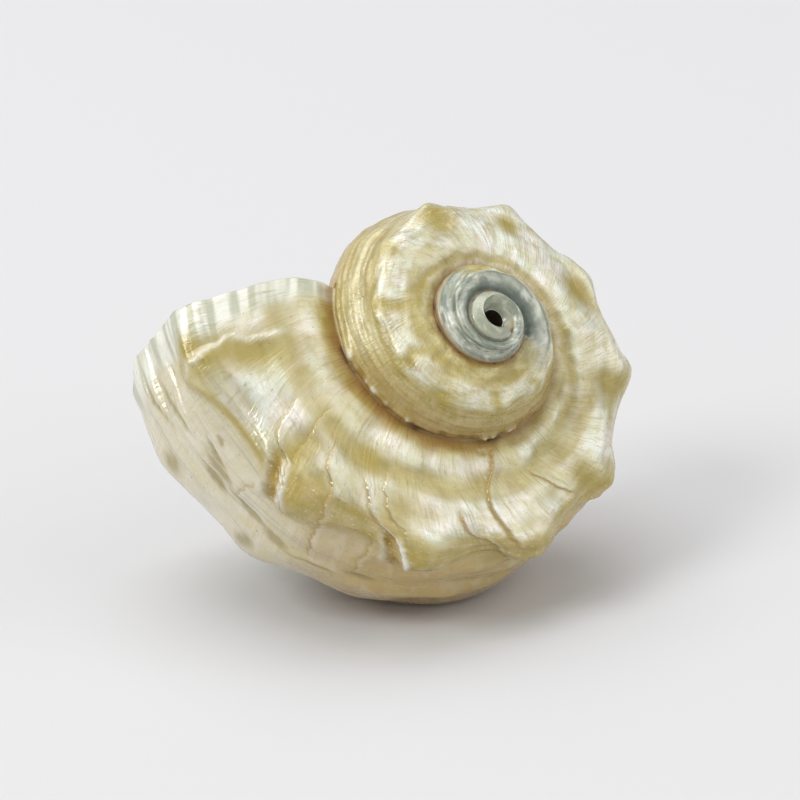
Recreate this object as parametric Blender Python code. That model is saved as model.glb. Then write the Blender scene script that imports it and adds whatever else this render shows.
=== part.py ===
"""A pearly sea snail shell with a low, knobbed spire, lying as it rests on a flat surface.

The shell is one piece. A hollow tube with one cross-section winds round an axis and shrinks by the
same ratio every turn. Angles are in degrees and grow from the lip, back along the tube, to the worn
top. Depths are measured along the axis, down from the spiral's pole.
"""

import math

import bmesh
import bpy
from mathutils import Matrix, Vector

MM = 0.001

# The spiral
WHORL_RATIO = 2.487  # size of the tube over its size one turn earlier
WHORL_SHIFT = 338.0  # growth angle from a suture to the wall foot that it lies on
TOP_ANGLE = 1210.0  # growth angle where the worn top ends the spiral
NAVEL_ANGLE = 540.0  # growth angle where the navel's winding wall ends
STEPS_A_SHIFT = 56  # columns of faces in one WHORL_SHIFT
NARROW_UNTIL, WIDE_FROM = 285.0, 358.0  # the last whorl's wall stands steeper than the spire's

# Cross-section of the tube at the lip, as (radius, depth) in millimetres, one point a row
SUTURE = (15.3, 10.4)
RAMP = [(20.0, 10.4), (26.0, 11.2), (29.7, 12.4)]
KEEL = (31.1, 14.2)
LAST_WALL = [(32.9, 17.3), (34.2, 20.7), (34.8, 24.6)]
LAST_BASE = [(32.4, 30.7), (28.1, 35.7), (22.1, 38.6), (15.8, 38.6)]
SPIRE_WALL = [(33.4, 17.3), (36.2, 21.3), (SUTURE[0] * WHORL_RATIO, SUTURE[1] * WHORL_RATIO)]
SPIRE_BASE = [(36.8, 32.6), (32.0, 38.3), (25.2, 41.0), (16.8, 40.3)]
NAVEL_WALL = [(9.7, 37.0), (7.8, 30.5), (8.1, 22.6)]
CONTACT = (SPIRE_BASE[2][0] / WHORL_RATIO, SPIRE_BASE[2][1] / WHORL_RATIO)
LAST_SECTION = [SUTURE, *RAMP, KEEL, *LAST_WALL, *LAST_BASE, *NAVEL_WALL, CONTACT]
SPIRE_SECTION = [SUTURE, *RAMP, KEEL, *SPIRE_WALL, *SPIRE_BASE, *NAVEL_WALL, CONTACT]

# Rows along the section. The next whorl out hides what lies between FOOT and CONTACT.
ROWS = [0, 1, 2, 2.8, 3.5, 4, 4.4, 5, 6, 7, 7.6, 8.2, 8.8, 9.4, 10, 10.5, 11, 12, 13, 14, 15]
FOOT, HIDDEN_END, LAST = ROWS.index(7), ROWS.index(10), len(ROWS) - 1

# How far each whole row trails the suture, because the lip lies on a slanted plane
TRAIL = [0, 3.8, 12, 16, 17.5, 18, 19.5, 22, 28, 33, 37, 40, 40, 34, 24, 15]

# Spines along the keel: (angle, height) on the last whorl, then even spacing up the spire
SPINES = [
    (29, 2.6), (65, 2.8), (96.5, 2.8), (128.5, 2.8), (159.5, 2.6), (198, 2.4), (231, 1.6), (271.5, 2.3),
    (309, 2.2),
]
SPIRE_SPINES, SPINE_SPACING, SPIRE_SPINE_HEIGHT = 14, 33.5, 1.7
SPINE_HALF_WIDTH, SPINE_ROW = 8.5, 4.2
SPINES_WEAR = (700.0, 800.0)

# Low knobs where the wall turns into the base, as (angle, height)
KNOBS = [(42, 0.8), (66, 1.1), (91, 0.65), (114, 0.9), (145, 0.95), (176, 0.9), (205, 0.8), (235, 0.6)]
KNOB_HALF_WIDTH, KNOB_ROW, KNOB_REACH = 7.0, 7.5, 0.65

# How much slimmer the last whorl is than its section: hollows between the spines, as (angle, depth),
# and its wall, as (angle, depth)
SCALLOPS = [(47, 0.6), (81, 0.8), (112, 1.0), (144, 1.2), (178, 1.8), (214, 2.8), (250, 1.0), (290, 0.8)]
SCALLOP_HALF_WIDTH, SCALLOP_REACH = 11.0, 0.9
SLIMMING = [
    (0, 0.5), (30, 0.75), (60, 1.25), (100, 1.2), (125, 1.55), (140, 2.2), (200, 2.4), (260, 1.5),
    (330, 0.0),
]
SLIM_FROM, SLIM_TO_FRESH, SLIM_TO_OLDER = (4.6, 6.3), (8.4, 10.0), (7.6, 9.0)

# The worn top: its whorls are wider and flatter than the rule, round a hole
TOP_WIDENING, TOP_WIDEST, TOP_SPREAD = 0.42, 830.0, 130.0
TOP_SINKS = (830.0, 1060.0)
RIM_RADIUS, RIM_DEPTH = 1.12, 2.5
HOLE = [(1.05, 2.52), (0.95, 2.85), (0.7, 4.6)]  # rings down the hole, as (radius, depth)
NAVEL_FLOOR = 6.0

# The hollow of the tube at the lip: a point inside each whole row, then along the inner whorl
HOLLOW = [
    (16.8, 12.1), (19.5, 11.8), (25.5, 12.7), (29.0, 14.0), (30.0, 15.5), (31.5, 17.9), (32.8, 21.0),
    (33.3, 24.6), (31.1, 29.9), (27.2, 34.4), (21.6, 37.2), (16.0, 37.1), (11.3, 35.6), (9.5, 30.2),
    (9.7, 23.0), (11.3, 18.4),
]
HOLLOW_INNER_SIDE = [(12.4, 17.7), (14.1, 16.4), (15.6, 14.3)]
HOLLOW_CENTRE = (21.5, 24.5)
HOLLOW_NARROWING = 0.15  # keeps the wall from thinning as fast as the tube shrinks
HOLLOW_FROM, HOLLOW_TO, HOLLOW_RINGS = 8.0, 470.0, 50

# How it lies: turned by LIP_BEARING about its own axis, then leaning towards LEAN_HEADING
LIP_BEARING, LEAN, LEAN_HEADING = -132.5, 48.3, -53.3

# The underside is flat where it rests. Places are measured sideways from the pole as it lies.
REST_DEPTH = 33.1  # from the pole down to the surface that it rests on
FLAT_CENTRE, FLAT_HALVES = (-8.6, 3.0), (6.5, 5.0)
FLAT_BLEND = 2.0  # where the flattening ends, as a multiple of FLAT_HALVES
FLAT_HEIGHTS = (4.0, 12.0)  # the flattening fades out between these heights


def ease(value, low, high):
    """0 below low, 1 above high, and a smooth S between."""
    part = min(max((value - low) / (high - low), 0.0), 1.0)
    return part * part * (3.0 - 2.0 * part)


def along(points, row):
    """The point at a fractional row of a smooth curve through the points."""
    first = min(int(row), len(points) - 2)
    part = row - first
    middle = [Vector(points[first]), Vector(points[first + 1])]
    before = Vector(points[first - 1]) if first else 2 * middle[0] - middle[1]
    last = first + 2 == len(points)
    after = 2 * middle[1] - middle[0] if last else Vector(points[first + 2])
    slope = (middle[1] - before) / 2
    next_slope = (after - middle[0]) / 2
    bend = 3 * (middle[1] - middle[0]) - 2 * slope - next_slope
    twist = 2 * (middle[0] - middle[1]) + slope + next_slope
    return middle[0] + part * (slope + part * (bend + part * twist))


def trail(row):
    first = min(int(row), len(TRAIL) - 2)
    return TRAIL[first] + (row - first) * (TRAIL[first + 1] - TRAIL[first])


def scale(angle):
    return WHORL_RATIO ** (-angle / 360.0)


def on_axes(angle, radius, depth):
    """A point of the shell, in metres, from its place round the axis."""
    turn = math.radians(angle)
    return Vector((radius * math.cos(turn), radius * math.sin(turn), -depth)) * MM


def bell(value):
    return math.exp(-(value**2))


def between(stops, value):
    """The value on a line through stops, held at its ends."""
    for (low, first), (high, second) in zip(stops, stops[1:]):
        if value < high:
            return first + (second - first) * max(value - low, 0) / (high - low)
    return stops[-1][1]


def spine_height(angle, row):
    last = SPINES[-1][0]
    up_spire = [(last + SPINE_SPACING * count, SPIRE_SPINE_HEIGHT) for count in range(1, SPIRE_SPINES)]
    along_keel = 0.0
    for centre, height in SPINES + up_spire:
        along_keel += height * math.exp(-((abs(angle - centre) / SPINE_HALF_WIDTH) ** 1.6))
    reach = 1.3 if row < SPINE_ROW else 0.55
    return along_keel * bell((row - SPINE_ROW) / reach) * (1 - ease(angle, *SPINES_WEAR))


def knob_height(angle, row):
    along_wall = sum(height * bell((angle - centre) / KNOB_HALF_WIDTH) for centre, height in KNOBS)
    return along_wall * bell((row - KNOB_ROW) / KNOB_REACH)


def inset(angle, row):
    """How far inside the plain section the last whorl's surface lies."""
    scallop = sum(depth * bell((angle - centre) / SCALLOP_HALF_WIDTH) for centre, depth in SCALLOPS)
    older = ease(angle, 90, 115)
    fresh_end, older_end = ease(row, *SLIM_TO_FRESH), ease(row, *SLIM_TO_OLDER)
    slim = ease(row, *SLIM_FROM) * (1 - fresh_end - older * (older_end - fresh_end))
    return scallop * bell((row - SPINE_ROW) / SCALLOP_REACH) + between(SLIMMING, angle) * slim


def top_widening(growth):
    return SUTURE[0] * scale(growth) * TOP_WIDENING * bell((growth - TOP_WIDEST) / TOP_SPREAD)


def resting_turn():
    turn = Matrix.Rotation(math.radians(LEAN_HEADING), 3, "Z")
    turn @= Matrix.Rotation(math.radians(LEAN), 3, "Y")
    return turn @ Matrix.Rotation(math.radians(LIP_BEARING), 3, "Z")


def flattening(place):
    """How far the outside is pressed down, at a place on it, to make the flat that it rests on."""
    turn = resting_turn()
    x, y, z = turn @ place / MM
    height = z + REST_DEPTH
    sideways = [(x - FLAT_CENTRE[0]) / FLAT_HALVES[0], (y - FLAT_CENTRE[1]) / FLAT_HALVES[1]]
    share = 1 - ease(math.hypot(*sideways), 1.0, FLAT_BLEND)
    share *= 1 - ease(height, *FLAT_HEIGHTS)
    return turn.transposed() @ Vector((0, 0, -share * height)) * MM


def outline(growth, row):
    """A point of the outside, before the underside is flattened."""
    angle = growth + trail(row)
    wide = ease(angle, NARROW_UNTIL, WIDE_FROM)
    radius, depth = along(LAST_SECTION, row).lerp(along(SPIRE_SECTION, row), wide)
    spine, knob = spine_height(angle, row), knob_height(angle, row)
    radius = (radius + spine + knob - inset(angle, row)) * scale(angle)
    depth = (depth - 0.25 * spine + 0.5 * knob) * scale(angle)
    if row <= 7:
        near_suture, near_foot = max(1 - row / 3.5, 0), max((row - 4) / 3, 0)
        inner = growth - WHORL_SHIFT
        radius += near_suture * top_widening(growth) + near_foot * top_widening(inner)
        sink = near_suture * ease(growth, *TOP_SINKS) + near_foot * ease(inner, *TOP_SINKS)
        depth += min(sink, 1) * max(RIM_DEPTH - depth, 0)
        radius = max(radius, RIM_RADIUS)
    return on_axes(angle, radius, depth)


def surface(growth, row):
    """A point of the outside, where growth is the angle from the lip and row the place across it."""
    place = outline(growth, row)
    return place + flattening(place)


def hollow(growth, points, row, angle):
    """A point of the hollow's wall, on the ring at growth, trailing by angle."""
    size = scale(growth + angle)
    centre = Vector(HOLLOW_CENTRE)
    wall = along(points, row)
    radius, depth = centre + (wall - centre) * (1 - HOLLOW_NARROWING * (1 - size))
    return on_axes(growth + angle, radius * size, depth * size)


class Outside:
    """The outer vertices, by column and row. A suture is one line of vertices for both whorls."""

    def __init__(self, mesh):
        self.mesh = mesh
        self.step = WHORL_SHIFT / STEPS_A_SHIFT
        self.columns = round(TOP_ANGLE / self.step)
        self.navel_columns = round(NAVEL_ANGLE / self.step)
        self.made = {}

    def vertex(self, column, index):
        if index == 0 and column + STEPS_A_SHIFT <= self.columns:
            column, index = column + STEPS_A_SHIFT, FOOT
        if index == LAST and column + STEPS_A_SHIFT <= self.navel_columns:
            column, index = column + STEPS_A_SHIFT, HIDDEN_END
        if (column, index) not in self.made:
            place = surface(column * self.step, ROWS[index])
            self.made[column, index] = self.mesh.verts.new(place)
        return self.made[column, index]

    def add_faces(self, columns, rows):
        for column in columns:
            for index in rows:
                corners = [(column, index), (column + 1, index)]
                corners += [(column + 1, index + 1), (column, index + 1)]
                self.mesh.faces.new([self.vertex(*corner) for corner in corners])


def join(mesh, first, second):
    """A strip of faces between two lines of vertices, which may share their ends."""
    for a, b, c, d in zip(first, first[1:], second[1:], second):
        corners = list(dict.fromkeys([a, b, c, d]))
        mesh.faces.new(corners)


def fan(mesh, loop, tip):
    centre = mesh.verts.new(tip)
    for a, b in zip(loop, loop[1:] + loop[:1]):
        mesh.faces.new([a, b, centre])


def close_top(mesh, outside):
    """The hole in the worn top, with a floor below its rim."""
    columns = range(outside.columns - STEPS_A_SHIFT, outside.columns + 1)
    rim = [outside.vertex(column, 0) for column in columns]
    rim += [outside.vertex(outside.columns, index) for index in range(1, FOOT)]
    loops = [rim]
    for radius, depth in HOLE:
        angles = [math.degrees(math.atan2(vertex.co.y, vertex.co.x)) for vertex in rim]
        loops.append([mesh.verts.new(on_axes(angle, radius, depth)) for angle in angles])
    for upper, lower in zip(loops, loops[1:]):
        join(mesh, upper + upper[:1], lower + lower[:1])
    fan(mesh, loops[-1], on_axes(0, 0, HOLE[-1][1]))


def close_navel(mesh, outside):
    """The floor of the navel, the funnel that winds up round the axis on the underside."""
    end = outside.navel_columns
    edge = [outside.vertex(column, LAST) for column in range(end - STEPS_A_SHIFT, end + 1)]
    edge += [outside.vertex(end, index) for index in range(LAST - 1, HIDDEN_END, -1)]
    fan(mesh, edge, on_axes(0, 0, NAVEL_FLOOR))


def hollow_ring(mesh, growth):
    ring = []
    for row in ROWS:
        angle = growth + trail(row)
        moved = flattening(outline(growth, row)) - on_axes(angle, inset(angle, row) * scale(angle), 0)
        ring.append(hollow(growth, HOLLOW, row, trail(row)) + moved)
    inner_rows = [ROWS[index] for index in range(HIDDEN_END - 1, FOOT, -1)]
    for count, row in enumerate(inner_rows):
        place = count * (len(HOLLOW_INNER_SIDE) - 1) / (len(inner_rows) - 1)
        ring.append(hollow(growth, HOLLOW_INNER_SIDE, place, trail(row) - TRAIL[7]))
    return [mesh.verts.new(place) for place in ring]


def add_hollow(mesh, outside):
    """The lip's edge, and the hollow that runs from it up inside the tube."""
    lip = [outside.vertex(0, index) for index in range(LAST + 1)]
    inner_side = [outside.vertex(STEPS_A_SHIFT, index) for index in range(HIDDEN_END - 1, FOOT, -1)]
    inner_lip = [lip[0]]
    for row in ROWS[1:-1]:
        moved = on_axes(trail(row), inset(trail(row), row) * scale(trail(row)), 0)
        inner_lip.append(mesh.verts.new(hollow(0, HOLLOW, row, trail(row)) - moved))
    inner_lip.append(lip[-1])
    join(mesh, lip, inner_lip)
    before = inner_lip + inner_side
    for count in range(HOLLOW_RINGS):
        growth = HOLLOW_FROM + (HOLLOW_TO - HOLLOW_FROM) * count / (HOLLOW_RINGS - 1)
        ring = hollow_ring(mesh, growth)
        join(mesh, before + before[:1], ring + ring[:1])
        before = ring
    middle = sum((vertex.co for vertex in before), Vector()) / len(before)
    fan(mesh, before, middle)


def resting_place(mesh):
    """Turns the shell to how it lies, and puts the middle of its underside at the origin."""
    bmesh.ops.transform(mesh, matrix=resting_turn().to_4x4(), verts=mesh.verts)
    sides = [[vertex.co[axis] for vertex in mesh.verts] for axis in range(3)]
    middle = [(min(side) + max(side)) / 2 for side in sides]
    bmesh.ops.translate(mesh, vec=(-middle[0], -middle[1], -min(sides[2])), verts=mesh.verts)


def pearl_material():
    """Cream nacre, polished by wear."""
    material = bpy.data.materials.new("pearl")
    material.use_nodes = True
    shader = material.node_tree.nodes["Principled BSDF"]
    shader.inputs["Base Color"].default_value = (0.72, 0.64, 0.42, 1.0)
    shader.inputs["Roughness"].default_value = 0.3
    shader.inputs["Metallic"].default_value = 0.15
    return material


def make_shell():
    mesh = bmesh.new()
    outside = Outside(mesh)
    outside.add_faces(range(outside.columns), range(FOOT))
    outside.add_faces(range(STEPS_A_SHIFT), range(FOOT, HIDDEN_END))
    outside.add_faces(range(outside.navel_columns), range(HIDDEN_END, LAST))
    close_top(mesh, outside)
    close_navel(mesh, outside)
    add_hollow(mesh, outside)
    bmesh.ops.recalc_face_normals(mesh, faces=mesh.faces)
    resting_place(mesh)
    data = bpy.data.meshes.new("shell")
    mesh.to_mesh(data)
    mesh.free()
    data.shade_smooth()
    data.materials.append(pearl_material())
    bpy.context.scene.collection.objects.link(bpy.data.objects.new("shell", data))


def main():
    for item in list(bpy.data.objects):
        bpy.data.objects.remove(item)
    make_shell()


main()
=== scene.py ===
"""The looks of a pearly sea snail shell: one fine mesh in place of the plain solid, with its nacre.

The mesh follows the same spiral as the solid. A place on the shell is its growth, in degrees from the
lip back along the tube, and its row, from 0 at the suture over the keel at 4 and the foot of the wall
at 7 to the edge of the navel at 15. Growth lines trail, so a place's angle round the axis is its growth
and the trail of its row together. Lengths are in millimetres at the lip, and shrink up the spiral.
"""

import math

import bmesh
import bpy
import numpy as np
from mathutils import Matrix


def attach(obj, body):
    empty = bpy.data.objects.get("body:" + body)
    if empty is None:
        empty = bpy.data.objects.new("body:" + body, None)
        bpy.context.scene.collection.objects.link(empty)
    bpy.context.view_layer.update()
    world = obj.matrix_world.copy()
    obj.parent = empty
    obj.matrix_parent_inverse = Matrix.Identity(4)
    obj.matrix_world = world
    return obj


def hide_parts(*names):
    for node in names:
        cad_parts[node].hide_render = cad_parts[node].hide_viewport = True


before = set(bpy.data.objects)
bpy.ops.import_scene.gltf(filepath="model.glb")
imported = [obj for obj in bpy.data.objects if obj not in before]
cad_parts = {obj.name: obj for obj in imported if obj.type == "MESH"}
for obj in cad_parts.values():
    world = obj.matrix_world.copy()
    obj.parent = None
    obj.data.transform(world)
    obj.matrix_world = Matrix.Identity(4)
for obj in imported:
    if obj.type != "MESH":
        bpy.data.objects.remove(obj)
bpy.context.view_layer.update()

MM = 0.001
DEGREE = math.pi / 180

# The spiral, as in the solid
POLE = np.array([12.471, -4.135, 33.1])  # in the part's frame, in millimetres
WHORL_RATIO = 2.487  # times it grows in a turn
WHORL_SHIFT = 338  # degrees of growth from a suture to the wall's foot above it
LIP_BEARING, LEAN, LEAN_HEADING = -132.5, 48.3, -53.3  # how the axis and the lip lie
NARROW_UNTIL, WIDE_FROM = 285, 358  # from the last whorl's section to the spire's
# Sections, as the (radius, depth) of each row
SUTURE = (15.3, 10.4)
RAMP = [(20, 10.4), (26, 11.2), (29.7, 12.4)]
KEEL = (31.1, 14.2)
LAST_WALL = [(32.9, 17.3), (34.2, 20.7), (34.8, 24.6)]
LAST_BASE = [(32.4, 30.7), (28.1, 35.7), (22.1, 38.6), (15.8, 38.6)]
SPIRE_WALL = [(33.4, 17.3), (36.2, 21.3), (SUTURE[0] * WHORL_RATIO, SUTURE[1] * WHORL_RATIO)]
SPIRE_BASE = [(36.8, 32.6), (32, 38.3), (25.2, 41), (16.8, 40.3)]
NAVEL_WALL = [(9.7, 37), (7.8, 30.5), (8.1, 22.6)]
CONTACT = (SPIRE_BASE[2][0] / WHORL_RATIO, SPIRE_BASE[2][1] / WHORL_RATIO)
LAST_SECTION = [SUTURE, *RAMP, KEEL, *LAST_WALL, *LAST_BASE, *NAVEL_WALL, CONTACT]
SPIRE_SECTION = [SUTURE, *RAMP, KEEL, *SPIRE_WALL, *SPIRE_BASE, *NAVEL_WALL, CONTACT]
TRAIL = [0, 3.8, 12, 16, 17.5, 18, 19.5, 22, 28, 33, 37, 40, 40, 34, 24, 15]  # degrees, of each row
FOOT, HIDDEN_END, LAST = 7, 10, 15  # rows: the wall's foot, the contact's end, the navel's edge
# The flat on the underside
REST_DEPTH, FLAT_HEIGHTS = 33.1, (4, 12)
FLAT_CENTRE, FLAT_HALVES, FLAT_BLEND = (-8.6, 3), (6.5, 5), 2
# The worn top
TOP_WIDENING, TOP_WIDEST, TOP_SPREAD = 0.42, 830, 130
TOP_SINKS, RIM_RADIUS, RIM_DEPTH = (830, 1060), 1.12, 2.5
HOLE = [(1.2, 2.36), (1.15, 2.42), (1.1, 2.7), (1, 3.4), (0.8, 4.6)]  # (radius, depth) down it
HOLE_GROWTH, NAVEL_FLOOR = 1200, 6
# The hollow
HOLLOW = [
    (16.8, 12.1), (19.5, 11.8), (25.5, 12.7), (29, 14), (30, 15.5), (31.5, 17.9), (32.8, 21),
    (33.3, 24.6), (31.1, 29.9), (27.2, 34.4), (21.6, 37.2), (16, 37.1), (11.3, 35.6), (9.5, 30.2),
    (9.7, 23), (11.3, 18.4),
]
HOLLOW_INNER_SIDE = [(12.4, 17.7), (14.1, 16.4), (15.6, 14.3)]
HOLLOW_INNER_ROWS = (7, 7.6, 8.5, 9.4, 10)  # the rows a turn back that the inner side follows
HOLLOW_CENTRE, HOLLOW_NARROWING = np.array((21.5, 24.5)), 0.15
HOLLOW_FROM, HOLLOW_TO, HOLLOW_RINGS = 3, 470, 110
HOLLOW_SPREAD = 1.25  # over 1, so its rings are closer near the lip
LIP_THICKNESS, LIP_THICKENS, LIP_ROUNDING = 0.42, (0, 25), 0.22  # thickness: share of the wall's

# How finely it is meshed
COLUMNS = 448  # in one WHORL_SHIFT on the last whorl, with half as many on each whorl above
TOP_COLUMNS, NAVEL_COLUMNS = 176, 134
OUTER_STEPS, INNER_STEPS = 76, 14  # points of a ring of the hollow, on its two sides

# Spines along the keel: (angle, height) on the last whorl, then even spacing up the spire
SPINES = [
    (29, 2.6), (65, 2.8), (96.5, 2.8), (128.5, 2.8), (159.5, 2.6), (198, 2.4), (231, 1.6), (271.5, 2.3),
    (309, 2.2),
]
FRESH_SPINES = 5  # how many of them keep a sharp crease and dull tips
SPIRE_SPINES, SPINE_SPACING, SPIRE_SPINE_HEIGHT = 14, 33.5, 1.7
SPINE_HALF_WIDTH, LIP_FLANK = 8.5, 22  # the flank of the first spine towards the lip is wider
SPINE_ROW, SPINE_POINTEDNESS, SPINES_WEAR = 4.2, 1.6, (700, 800)
SPINE_REACH_IN, SPINE_REACH_DOWN = 1.3, 0.5  # in rows, towards the suture and down the wall

# Knobs where the wall turns into the base, as (angle, height)
KNOBS = [(42, 0.8), (66, 1.1), (91, 0.65), (114, 0.9), (145, 0.95), (176, 0.9), (205, 0.8), (235, 0.6)]
KNOB_HALF_WIDTH, KNOB_ROW, KNOB_REACH = 7, 7.5, 0.65

# How much slimmer than its section the last whorl is between the spines and on its wall
SCALLOPS = [(47, 0.6), (81, 0.8), (112, 1), (144, 1.2), (178, 1.8), (214, 2.8), (250, 1), (290, 0.8)]
SCALLOP_HALF_WIDTH, SCALLOP_REACH = 11, 0.9
SLIMMING = [
    (0, 0.5), (30, 0.75), (60, 1.25), (100, 1.2), (125, 1.55), (140, 2.2), (200, 2.4), (260, 1.5),
    (330, 0),
]
SLIM_FROM, SLIM_TO_FRESH, SLIM_TO_OLDER = (4.6, 6.3), (8.4, 10), (7.6, 9)
SLIM_OLDER_FROM = (90, 115)


def ease(value, low, high):
    """From 0 at low to 1 at high."""
    part = np.clip((value - low) / (high - low), 0, 1)
    return part * part * (3 - 2 * part)


def between(value, rise, fall):
    """1 from a rise to a fall, each as (start, end)."""
    return ease(value, *rise) * (1 - ease(value, *fall))


def bell(value):
    return np.exp(-(value**2))


def along(points, row):
    """Points at fractional rows of a smooth curve through the points."""
    points = np.array(points, float)
    ends = [2 * points[0] - points[1]], [2 * points[-1] - points[-2]]
    points = np.concatenate([ends[0], points, ends[1]])
    first = np.clip(row.astype(int), 0, len(points) - 4)
    part = (row - first)[..., None]
    before, a, b, after = (points[first + step] for step in range(4))
    slope, next_slope = (b - before) / 2, (after - a) / 2
    bend = 3 * (b - a) - 2 * slope - next_slope
    twist = 2 * (a - b) + slope + next_slope
    return a + part * (slope + part * (bend + part * twist))


def at_stops(value, stops):
    """The number between (place, number) stops at a place."""
    return np.interp(value, *zip(*stops))


def trail(row):
    return np.interp(row, range(len(TRAIL)), TRAIL)


def scale(angle):
    return WHORL_RATIO ** (-angle / 360)


def turn_about(axis, degrees):
    cos, sin = math.cos(degrees * DEGREE), math.sin(degrees * DEGREE)
    if axis == "Z":
        return np.array([[cos, -sin, 0], [sin, cos, 0], [0, 0, 1]])
    return np.array([[cos, 0, sin], [0, 1, 0], [-sin, 0, cos]])


RESTING = turn_about("Z", LEAN_HEADING) @ turn_about("Y", LEAN) @ turn_about("Z", LIP_BEARING)


def on_axes(angle, radius, depth):
    """Points of the shell from their places round its axis, turned to how it lies."""
    turn = angle * DEGREE
    return np.stack([radius * np.cos(turn), radius * np.sin(turn), -depth], -1) @ RESTING.T


def flattening(points):
    """How far down points of the outside are pressed, to make the flat it rests on."""
    height = points[..., 2] + REST_DEPTH
    sideways = [(points[..., axis] - FLAT_CENTRE[axis]) / FLAT_HALVES[axis] for axis in (0, 1)]
    share = (1 - ease(np.hypot(*sideways), 1, FLAT_BLEND)) * (1 - ease(height, *FLAT_HEIGHTS))
    return -share * height


NOISE_GRID = 64


class Noise:
    """Smooth random waves over a plane, the same each run."""

    def __init__(self, seed):
        self.grid = np.random.default_rng(seed).uniform(-1, 1, (NOISE_GRID, NOISE_GRID))

    def __call__(self, x, y=0):
        column, row = np.floor(x).astype(int), np.floor(y).astype(int)
        part = [ease(x - column, 0, 1), ease(y - row, 0, 1)]
        near, far = column % NOISE_GRID, (column + 1) % NOISE_GRID
        low, high = (
            self.grid[near, line] + part[0] * (self.grid[far, line] - self.grid[near, line])
            for line in (row % NOISE_GRID, (row + 1) % NOISE_GRID)
        )
        return low + part[1] * (high - low)


wander, ripple, fine = Noise(3), Noise(11), Noise(23)

# ---------------- relief

# The step behind the lip, as (angle, row) from the suture outwards, and its height
LIP_STEP = [
    (22, 1.3), (23.5, 1.6), (24, 2.1), (24.5, 2.6), (26.3, 3.1), (28.5, 3.9), (29.8, 4.4), (30.5, 5),
]
LIP_STEP_HEIGHT, LIP_STEP_FADE = 0.4, 9

# Lines where growth halted: (angle, row) points, the height of their step, and how golden they are
HALTS = [
    ([(43, 1.7), (47, 2.3), (51, 2.8), (56, 3), (58, 3.5), (60, 4.1), (63, 4.9)], 0.3, 0.45),
    ([(56, 4.9), (55.5, 5.5), (55, 6.1)], 0.03, 0.3),
    ([(83, 4.1), (85, 5), (86, 6.2)], 0.06, 0.45),
    ([(50, 1.2), (53, 1.9), (55.5, 2.4)], 0.06, 0.35),
    ([(60, 1.6), (64, 2.3), (68, 2.65), (69.5, 3.5), (72, 4.5), (74, 5.7), (75, 6.2)], 0.1, 0.7),
    ([(73, 1.9), (76, 2.2), (79, 2.7), (83, 3), (88, 3.4), (91, 4.1), (93.5, 4.7), (96, 5.1)],
     0.26, 0.5),
    ([(77, 1.5), (80, 2), (84, 2.6), (89, 2.9), (90.5, 3.4)], 0.12, 0.4),
    ([(110, 0.35), (117, 0.4), (116, 0.8), (113.7, 1.3), (113.7, 1.7), (116, 2.1), (119, 2.6),
      (122, 3.6)], 0.22, 1),
    ([(103, 2), (106, 2.5), (109, 2.75), (113, 2.95), (115.5, 3.3), (117.5, 3.9), (120, 4.4),
      (124, 4.7)], 0.24, 0.9),
    ([(132, 1.3), (138, 1.8), (142, 2.2), (145, 2.6)], 0.1, 0.8),
]
HALT_FADE = 6
OPEN_CRACK, OPENEST_CRACK = 0.75, 0.95  # how golden the wider cracks are, and the widest

# Folds at the freshest spines: angle, degrees a row it slants, first and last row, half width
FLUTES = [(55.3, 3.7, 3.1, 5, 1.8), (87, 3.6, 3.3, 5, 1.9)]
FLUTE_ROW = 3.6  # the row where a fold is at its angle

# Furrows that cross the ramp, their olive partly painted shade: angle, half width, first and last row,
# strength
FURROWS = [
    (28, 4.5, 1.6, 4.3, 1), (55, 4, 1.8, 3.4, 1), (66, 3.5, 2.6, 3.4, 0.6), (84, 6, 1.8, 2.7, 0.7),
    (117, 5, 3, 4.7, 0.9), (154, 5, 2, 4.5, 0.9), (190, 6, 1.8, 3.8, 0.9), (228, 7, 1.7, 2.6, 1),
    (270, 6, 1.9, 2.7, 1), (309, 7, 1.8, 3.8, 1), (344, 5, 2.6, 4.4, 0.6), (374, 4, 1.5, 4.2, 0.9),
    (407, 4, 1.3, 4.2, 0.85), (432, 5, 1.3, 2.7, 0.4), (438, 9, 2.8, 4.8, 0.9), (474, 4, 1.6, 4.4, 0.8),
    (490, 8, 2.9, 4.6, 0.6), (509, 4, 1.8, 4, 0.6),
]
FURROW_DEPTH = 0.6
# The row of a spiral furrow on the ramp, as (angle, row), and its half width in rows
GROOVE = [
    (0, 1.05), (20, 1.25), (60, 1.5), (90, 1.35), (120, 1.2), (150, 1.05), (180, 0.9), (220, 0.5),
    (300, 0.5), (340, 0.9), (380, 1.3), (540, 1.3),
]
GROOVE_HALF_WIDTH, GROOVE_STRENGTH = 0.22, 0.8

# Olive marks, mostly on the freshest wall: angle, row, half length, half width, rows a degree
WALL_MARKS = [
    (44.5, 4.93, 1.4, 0.1, 0.02), (34, 5.97, 6.5, 0.075, -0.04), (49.3, 5.8, 4.3, 0.17, 0.035),
    (46, 5.42, 4, 0.07, 0.03), (50, 6.25, 4, 0.13, 0.03), (31, 6.55, 6, 0.06, -0.02),
    (60, 6.2, 5, 0.09, 0.02), (68, 6.43, 3, 0.15, -0.01), (64, 7.3, 2.2, 0.22, 0),
    (42.5, 7.2, 2.4, 0.2, 0), (88, 6.3, 4, 0.11, 0), (78, 6.55, 6, 0.07, 0),
    (24, 5.6, 5, 0.06, -0.03), (113, 0.45, 3.2, 0.06, 0.01),
]
MARK_DEPTH = 0.18

# The crease between ramp and wall, sharp on the fresh part and lower at its spines
CREASE_ROW, CREASE_DIP, CREASE_ROW_OLDER, CREASE_FRESH_TO = 4.05, 0.75, 4.2, 175
CREASE_RISES, CREASE_ENDS = (20, 34), (165, 180)
CREASE_HEIGHT, CREASE_HIGHER, CREASE_HIGHER_FROM = 0.22, 0.12, (60, 75)

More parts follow.
